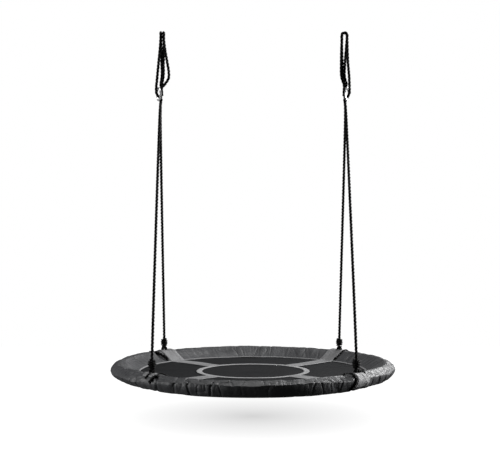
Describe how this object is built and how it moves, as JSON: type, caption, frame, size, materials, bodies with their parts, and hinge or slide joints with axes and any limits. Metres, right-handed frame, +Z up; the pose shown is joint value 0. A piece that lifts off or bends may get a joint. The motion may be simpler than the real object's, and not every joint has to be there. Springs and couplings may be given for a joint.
{
  "type": "nest swing",
  "caption": "Round padded nest swing: taut fabric seat on a steel rim, hung by black ropes through steel rings, with rope loops for hooks above.",
  "frame": {"origin": "middle of the line between the two overhead hooks, at the height where the rope loops rest on them", "axes": "+Z up, +X to the right when looking at the front of the swing, so the hook line lies along X and the swing swings along Y"},
  "size_m": [0.9998, 0.9998, 1.2222],
  "materials": {
    "frame_steel": "grey powder coat on steel tube",
    "screw_steel": "zinc plated",
    "foam": "closed-cell foam",
    "sleeve_fabric": "coated woven fabric with a soft gloss, gathered and wrinkled",
    "mat_fabric": "taut woven fabric, matt charcoal",
    "webbing": "woven grey webbing",
    "binding_tape": "woven edge tape",
    "rope": "black three-strand laid rope",
    "ring_steel": "polished, zinc bright"
  },
  "bodies": {
    "hook_bends": {"left_hook_bend_outer": "rope", "left_hook_bend_inner": "rope", "right_hook_bend_front": "rope", "right_hook_bend_rear": "rope"},
    "loops": {"left_loop_rope_outer_front": "rope", "left_loop_rope_outer_rear": "rope", "left_loop_rope_inner_front": "rope", "left_loop_rope_inner_rear": "rope", "right_loop_rope_front_inner": "rope", "right_loop_rope_front_outer": "rope", "right_loop_rope_rear_inner": "rope", "right_loop_rope_rear_outer": "rope"},
    "rings": {"left_ring": "ring_steel", "right_ring": "ring_steel", "left_ring_hitch": "rope", "right_ring_hitch": "rope"},
    "left_legs": {"front_left_leg_rope": "rope", "rear_left_leg_rope": "rope", "front_left_knot": "rope", "rear_left_knot": "rope"},
    "right_legs": {"front_right_leg_rope": "rope", "rear_right_leg_rope": "rope", "front_right_knot": "rope", "rear_right_knot": "rope"},
    "seat": {"frame_tube_right_to_rear": "frame_steel", "frame_tube_rear_to_left": "frame_steel", "frame_tube_left_to_front": "frame_steel", "frame_tube_front_to_right": "frame_steel", "joint_screw_right": "screw_steel", "joint_screw_rear": "screw_steel", "joint_screw_left": "screw_steel", "joint_screw_front": "screw_steel", "foam_pad_right": "foam", "foam_pad_rear": "foam", "foam_pad_left": "foam", "foam_pad_front": "foam", "rim_sleeve_right": "sleeve_fabric", "rim_sleeve_rear": "sleeve_fabric", "rim_sleeve_left": "sleeve_fabric", "rim_sleeve_front": "sleeve_fabric", "inner_flap_right": "sleeve_fabric", "inner_flap_rear": "sleeve_fabric", "inner_flap_left": "sleeve_fabric", "inner_flap_front": "sleeve_fabric", "edge_binding_right": "binding_tape", "edge_binding_rear": "binding_tape", "edge_binding_left": "binding_tape", "edge_binding_front": "binding_tape", "seat_mat": "mat_fabric", "webbing_circle": "webbing", "strap_rear_right": "webbing", "strap_rear_left": "webbing", "strap_front_left": "webbing", "strap_front_right": "webbing", "rear_right_rope_eye": "rope", "rear_left_rope_eye": "rope", "front_left_rope_eye": "rope", "front_right_rope_eye": "rope"}
  },
  "joints": [
    {"name": "fore_aft_swing", "type": "hinge", "parent": "hook_bends", "child": "loops", "pos_m": [0, 0, -0.003], "axis": [1, 0, 0], "range_deg": [-50, 50]},
    {"name": "ring_pitch", "type": "hinge", "parent": "loops", "child": "rings", "pos_m": [0, 0, -0.213], "axis": [1, 0, 0], "range_deg": [-25, 25]},
    {"name": "side_sway", "type": "hinge", "parent": "rings", "child": "left_legs", "pos_m": [-0.332, 0, -0.213], "axis": [0, 1, 0], "range_deg": [-20, 20]},
    {"name": "side_sway_right", "type": "hinge", "parent": "rings", "child": "right_legs", "pos_m": [0.332, 0, -0.213], "axis": [0, 1, 0], "range_deg": [-20, 20]},
    {"name": "seat_level", "type": "hinge", "parent": "left_legs", "child": "seat", "pos_m": [-0.3335, 0, -1.1445], "axis": [0, 1, 0], "range_deg": [-20, 20]}
  ],
  "couplings": [
    {"joint": "side_sway_right", "follows": "side_sway", "ratio": 1},
    {"joint": "seat_level", "follows": "side_sway", "ratio": -1}
  ]
}
